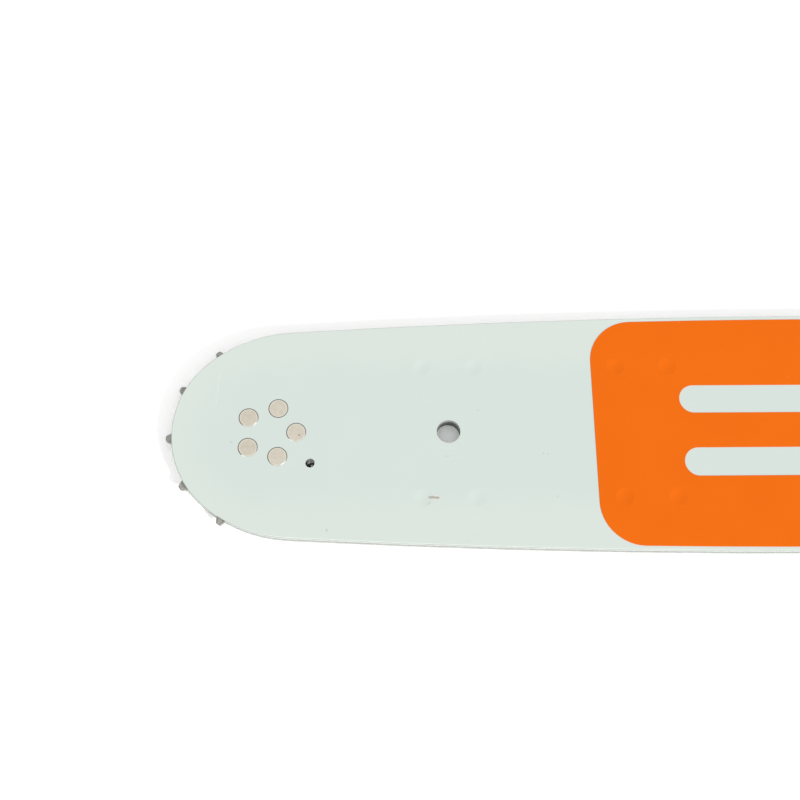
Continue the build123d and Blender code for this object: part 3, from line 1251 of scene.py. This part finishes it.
@dataclass
class NoseBearing:
    """Sprocket, race, cage and rollers in the nose, and the grease in the hole over them.

    Attributes:
        roller_prefix: How the rollers' names start.
        cage: Name of the cage's node.
        race: Name of the race's node.
        sprocket: Name of the sprocket's node.
        sprocket_finish: Ground steel of the sprocket.
        bright_finish: Polished steel of the race and the rollers.
        cage_finish: Dark, greased steel of the cage, also darkened as painted shade for the grease
            hole.
        hole_angle_deg: Direction of the grease hole from the nose axis.
        track_radius: Distance of the grease hole from the nose axis.
        bead_shift: Middle of the grease, from the middle of the hole.
        bead_size: Half the length, width and height of the grease.
        bead_turn_deg: How far its length is turned from the bar's.
        bead_rings: Rings of faces on it.
        drop_shift: A second drop on it, from the middle of the hole.
        drop_radius: Radius of that drop.
        drop_rings: Rings of faces on it.
        clearance: Height of the cut under the grease over the rollers that turn there.
        voxel: Fineness of the grease's skin, which swells by up to twice as much.
        smoothing: How many times the skin is smoothed.
        glint: Colour of the metal that shows through the grease.
    """

    roller_prefix: str = "roller_"
    cage: str = "roller_cage"
    race: str = "bearing_race"
    sprocket: str = "nose_sprocket"
    sprocket_finish: DarkSteel = DarkSteel("ground_sprocket_steel")
    bright_finish: DarkSteel = DarkSteel(
        "polished_bearing_steel",
        dark=srgb(116, 113, 108),
        light=srgb(198, 195, 190),
        stretch=(2.0, 2.0, 2.0),
        metallic=0.7,
        sheen=0.34,
    )
    cage_finish: DarkSteel = DarkSteel(
        "greased_cage_steel_with_painted_shade",
        dark=srgb(60, 58, 55),
        light=srgb(110, 108, 103),
        stretch=(4.0, 4.0, 4.0),
        metallic=0.6,
        sheen=0.4,
    )
    hole_angle_deg: float = -38.2
    track_radius: float = 14.1 * MM
    bead_shift: Vector = field(default_factory=lambda: Vector((-0.05, -0.17, 0.08)) * MM)
    bead_size: Vector = field(default_factory=lambda: Vector((1.2, 0.5, 0.42)) * MM)
    bead_turn_deg: float = 20.0
    bead_rings: int = 18
    drop_shift: Vector = field(default_factory=lambda: Vector((0.45, -0.46, 0.16)) * MM)
    drop_radius: float = 0.4 * MM
    drop_rings: int = 12
    clearance: float = 0.12 * MM
    voxel: float = 0.04 * MM
    smoothing: int = 4
    glint: Colour = srgb(246, 246, 243)

    def dress(self, nodes: dict[str, bpy.types.Object], effects: SharedEffects) -> None:
        """Give the bearing's steel parts their finishes.

        Args:
            nodes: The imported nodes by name.
            effects: The shared effects.
        """
        found = [name for name in nodes if name.startswith(self.roller_prefix)]
        rollers = sorted(name for name in found if name != self.cage)
        dress(nodes, [self.sprocket], self.sprocket_finish.material(effects))
        dress(nodes, [self.race, *rollers], self.bright_finish.material(effects))
        dress(nodes, [self.cage], self.cage_finish.material(effects))

    def hole_offset(self) -> Vector:
        """Middle of the grease hole, from the nose axis."""
        angle = math.radians(self.hole_angle_deg)
        return Vector((math.cos(angle), math.sin(angle), 0)) * self.track_radius

    def glints(self) -> tuple[Mark, ...]:
        """Find where metal shows through the grease.

        Returns:
            Two marks on the second drop.
        """
        x_mm, y_mm, _ = (self.hole_offset() + self.drop_shift) / MM
        return (
            Mark(x_mm + 0.15, y_mm + 0.14, 0.2, 0.12, 50.0, self.glint, 1.0),
            Mark(x_mm - 0.12, y_mm - 0.14, 0.22, 0.14, 35.0, self.glint, 1.0),
        )

    @staticmethod
    def add_ball(radius: float, rings: int, middle: Vector) -> None:
        """Add a ball, to the active mesh in edit mode or as an object of its own."""
        bpy.ops.mesh.primitive_uv_sphere_add(
            segments=2 * rings, ring_count=rings, radius=radius, location=middle
        )

    def build_grease_bead(self, effects: SharedEffects) -> None:
        """Model the grease that the gun left in the grease hole, whose near black also stands in as
        painted shade of the gap beside the roller.

        Args:
            effects: The shared effects.
        """
        bpy.ops.object.select_all(action="DESELECT")
        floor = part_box(self.roller_prefix + "01")[1].z + self.clearance
        hole = effects.nose + self.hole_offset()
        hole.z = floor
        middle = hole + self.bead_shift
        self.add_ball(self.bead_size.x, self.bead_rings, middle)
        bpy.ops.object.mode_set(mode="EDIT")
        bpy.ops.mesh.select_all(action="SELECT")
        flat = (1.0, self.bead_size.y / self.bead_size.x, self.bead_size.z / self.bead_size.x)
        bpy.ops.transform.resize(value=flat, center_override=middle)
        turn = math.radians(self.bead_turn_deg)
        bpy.ops.transform.rotate(value=-turn, orient_axis="Z", center_override=middle)
        self.add_ball(self.drop_radius, self.drop_rings, hole + self.drop_shift)
        bpy.ops.mesh.select_all(action="SELECT")
        bpy.ops.mesh.bisect(
            plane_co=(0, 0, floor), plane_no=(0, 0, 1), use_fill=True, clear_inner=True
        )
        bpy.ops.object.mode_set(mode="OBJECT")
        bead = bpy.context.active_object
        fuse = bead.modifiers.new("fuse", "REMESH")
        fuse.voxel_size = self.voxel
        bpy.ops.object.modifier_apply(modifier=fuse.name)
        soften = bead.modifiers.new("soften", "SMOOTH")
        soften.iterations = self.smoothing
        bpy.ops.object.modifier_apply(modifier=soften.name)
        finish = Grease("black_grease_and_painted_shade", glints=self.glints())
        new_piece("grease_bead_and_painted_shade", finish.material(effects), Body.BAR)


@dataclass
class NoseRivets:
    """Rivet heads and what fills the gap around them.

    Attributes:
        node: Name of the rivets' node.
        head_radius: Radius of a head.
        gap: Width of the gap around it.
        lap: How far the filling reaches into the head and the plate.
        sink: How far the filling stays under the painted face.
        depth: Height of the filling.
        sides: Corners around the ring.
        crown: Width of its rounded edges, as a share of the gap.
        crown_steps: Faces across such an edge.
        dot: Small dark spot on one head.
        sliver_highlight: Colour of the painted highlights at the heads' lower side.
    """

    node: str = "nose_rivets"
    head_radius: float = 2.6 * MM
    gap: float = 0.12 * MM
    lap: float = 0.03 * MM
    sink: float = 0.02 * MM
    depth: float = 0.12 * MM
    sides: int = 72
    crown: float = 0.25
    crown_steps: int = 2
    dot: Mark = Mark(8.0, -0.85, 0.3, 0.3, 0.0, srgb(150, 138, 124), 0.8)
    sliver_highlight: Colour = srgb(246, 249, 246)

    def slivers(self) -> tuple[Mark, ...]:
        """List the painted highlights at the rivets' lower edges, where the heads' edges catch
        light.

        Returns:
            One mark at the lower side of each of four rivets.
        """
        return (
            Mark(5.8, -2.25, 0.9, 0.2, -30.0, self.sliver_highlight, 0.8),
            Mark(-3.95, 2.4, 1.0, 0.22, 45.0, self.sliver_highlight, 0.9),
            Mark(-7.05, -6.6, 0.8, 0.2, -25.0, self.sliver_highlight, 0.8),
            Mark(3.85, -8.8, 1.0, 0.2, 40.0, self.sliver_highlight, 0.9),
        )

    def dress(self, nodes: dict[str, bpy.types.Object], effects: SharedEffects) -> None:
        """Give the rivets their bare steel."""
        finish = RivetSteel("bare_rivet_steel", marks=(self.dot, *self.slivers()))
        dress(nodes, [self.node], finish.material(effects))

    def build_gap_rings(self, effects: SharedEffects, face_height: float) -> None:
        """Model the filling around one rivet, copy it to the others and join the copies.

        Args:
            effects: The shared effects.
            face_height: Height of the painted face.
        """
        bpy.ops.object.select_all(action="DESELECT")
        centre = effects.nose.copy()
        centre.z = face_height - self.sink
        circle = effects.rivet_circle_mm * MM
        inner = self.head_radius - self.lap
        start = centre + Vector((circle, 0, 0))
        bpy.ops.mesh.primitive_circle_add(vertices=self.sides, radius=inner, location=start)
        first = bpy.context.active_object
        self.shape_ring((self.head_radius + self.gap + self.lap) / inner)
        rings = [first]
        for number in range(1, effects.rivet_count):
            angle = 2 * math.pi * number / effects.rivet_count
            ring = first.copy()
            ring.data = first.data.copy()
            ring.location = centre + Vector((math.cos(angle), math.sin(angle), 0)) * circle
            bpy.context.collection.objects.link(ring)
            rings.append(ring)
        bpy.ops.object.select_all(action="DESELECT")
        for ring in rings:
            ring.select_set(True)
        bpy.context.view_layer.objects.active = first
        bpy.ops.object.join()
        finish = CrackFill("paint_and_painted_shade", marks=self.slivers())
        new_piece("rivet_gap_rings", finish.material(effects), Body.BAR)

    def shape_ring(self, widen: float) -> None:
        """Turn the active circle into a flat ring with rounded edges.

        Args:
            widen: Outer radius of the ring over its inner one.
        """
        bpy.ops.object.mode_set(mode="EDIT")
        bpy.ops.mesh.select_all(action="SELECT")
        bpy.ops.mesh.extrude_edges_move()
        bpy.ops.transform.resize(value=(widen, widen, 1.0))
        bpy.ops.mesh.select_all(action="SELECT")
        bpy.ops.mesh.extrude_region_move(TRANSFORM_OT_translate={"value": (0, 0, -self.depth)})
        bpy.ops.mesh.select_all(action="SELECT")
        bpy.ops.mesh.normals_make_consistent(inside=False)
        bpy.ops.object.mode_set(mode="OBJECT")
        crown = bpy.context.active_object.modifiers.new("crown", "BEVEL")
        crown.width = self.crown * self.gap
        crown.segments = self.crown_steps
        crown.limit_method = "ANGLE"
        bpy.ops.object.modifier_apply(modifier=crown.name)


@dataclass
class Studio:
    """Floor, light and camera.

    Attributes:
        azimuth_deg: Side that the camera stands on, from straight across the bar towards the tail.
        elevation_deg: Height of the camera above the horizon.
        roll_deg: Lean of the camera about its own line of sight.
        distance: Camera to the point that it looks at.
        aim_from_nose: That point, from the nose axis at the height of the painted face.
        lens_mm: Focal length for a sensor of 36 mm.
        fill: Brightness of the sky for the object, where 1 lights a colour as it is written.
        key: Brightness that the lamp adds to it.
        key_elevation_deg: Height of the lamp above the horizon.
        key_azimuth_deg: Side that the lamp stands on, from the camera's side towards the tail.
        key_softness_deg: Apparent size of the lamp.
        floor_bounce: Floor's colour for the light that it throws on the object.
        floor_seen: Floor's colour as the camera sees it.
        floor_size: Side of the floor.
        floor_gap: Room between the floor and the bar.
    """

    azimuth_deg: float = -3.32
    elevation_deg: float = 70.74
    roll_deg: float = 2.83
    distance: float = 0.33046
    aim_from_nose: Vector = field(default_factory=lambda: Vector((0.03561, 0.00915)))
    lens_mm: float = 54.0
    fill: float = 0.55
    key: float = 0.45
    key_elevation_deg: float = 28.0
    key_azimuth_deg: float = 48.0
    key_softness_deg: float = 14.0
    floor_bounce: float = 0.85
    floor_seen: float = 1.86
    floor_size: float = 8.0
    floor_gap: float = 0.05 * MM

    def build(self, nose: Vector, face_height: float) -> None:
        """Set the stage.

        Args:
            nose: Axis of the nose sprocket.
            face_height: Height of the painted face.
        """
        bpy.context.scene.view_settings.view_transform = "Standard"
        self.lay_floor()
        self.light_sky()
        self.hang_key()
        aim = nose.xy + self.aim_from_nose
        self.place_camera(Vector((aim.x, aim.y, face_height)))

    def lay_floor(self) -> None:
        """White floor that shows the bar's shadow."""
        bpy.ops.object.select_all(action="DESELECT")
        bpy.ops.mesh.primitive_plane_add(size=self.floor_size, location=(0, 0, -self.floor_gap))
        floor = bpy.context.active_object
        floor.name = "studio_floor"
        material = bpy.data.materials.new("white_floor")
        material.use_nodes = True
        shaders = material.node_tree.nodes
        shaders.remove(shaders["Principled BSDF"])
        sheet = NodeSheet(material.node_tree)
        paper = sheet.add("ShaderNodeBsdfDiffuse")
        bounced, seen = ((tone, tone, tone, 1.0) for tone in (self.floor_bounce, self.floor_seen))
        sheet.fill(paper, {"Color": sheet.blend(self.direct_rays(sheet), bounced, seen)})
        sheet.fill(shaders["Material Output"], {"Surface": paper.outputs["BSDF"]})
        floor.data.materials.append(material)

    @staticmethod
    def direct_rays(sheet: NodeSheet) -> Socket:
        """Mask of the rays that show the stage itself: seen, mirrored or through glass.

        Args:
            sheet: The nodes of the floor or the sky.

        Returns:
            The mask.
        """
        rays = sheet.add("ShaderNodeLightPath").outputs
        mirrored = sheet.math("MAXIMUM", rays["Is Glossy Ray"], rays["Is Transmission Ray"])
        return sheet.math("MAXIMUM", rays["Is Camera Ray"], mirrored)

    def light_sky(self) -> None:
        """Even white sky that fills the shadows."""
        world = bpy.data.worlds.new("studio_sky")
        world.use_nodes = True
        sheet = NodeSheet(world.node_tree)
        strength = sheet.ramp(self.direct_rays(sheet), RISE, (self.fill, 1.0))
        sky = world.node_tree.nodes["Background"]
        sheet.fill(sky, {"Color": (1.0, 1.0, 1.0, 1.0), "Strength": strength})
        bpy.context.scene.world = world

    def hang_key(self) -> None:
        """Lamp on the camera's side, towards the tail, that leaves no glare on the paint."""
        height, side = math.radians(self.key_elevation_deg), math.radians(self.key_azimuth_deg)
        lamp = bpy.data.lights.new("key_lamp", "SUN")
        lamp.energy = self.key * math.pi / math.sin(height)
        lamp.angle = math.radians(self.key_softness_deg)
        holder = bpy.data.objects.new("key_lamp", lamp)
        level = Vector((math.sin(side), -math.cos(side), 0)) * math.cos(height)
        towards = level + Vector((0, 0, math.sin(height)))
        holder.rotation_euler = towards.to_track_quat("Z", "Y").to_euler()
        holder.visible_glossy = False
        bpy.context.collection.objects.link(holder)

    def place_camera(self, aim: Vector) -> None:
        """Stand the camera where the photograph was taken from.

        Args:
            aim: The point that it looks at.
        """
        side, height = math.radians(self.azimuth_deg), math.radians(self.elevation_deg)
        roll = math.radians(self.roll_deg)
        level = Vector((math.cos(side), math.sin(side), 0))
        back = Vector((level.y * math.cos(height), -level.x * math.cos(height), math.sin(height)))
        upright = back.cross(level)
        right = level * math.cos(roll) + upright * math.sin(roll)
        up = back.cross(right)
        data = bpy.data.cameras.new("studio_camera")
        data.lens = self.lens_mm
        camera = bpy.data.objects.new("studio_camera", data)
        stand = Matrix.Translation(aim + back * self.distance)
        camera.matrix_world = stand @ Matrix((right, up, back)).transposed().to_4x4()
        bpy.context.collection.objects.link(camera)
        bpy.context.scene.camera = camera


def main() -> None:
    """Load the bar, dress its parts, add what the CAD model leaves out and set the stage."""
    logging.basicConfig(level=logging.INFO, format="%(message)s")
    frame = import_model()
    nodes = frame["nodes"]
    spin = next(joint for joint in frame["joints"] if joint["child"] == Body.SPROCKET.value)
    nose = Vector(spin["pos_m"])
    face_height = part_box("upper_side_plate")[1].z
    effects = SharedEffects(nose, face_height / 2 / MM)
    bearing = NoseBearing()
    rivets = NoseRivets()
    for assembly in (SidePlates(rivets.slivers()), CorePlate(), bearing, rivets):
        assembly.dress(nodes, effects)
    bearing.build_grease_bead(effects)
    rivets.build_gap_rings(effects, face_height)
    Studio().build(nose, face_height)


if __name__ == "__main__":
    main()
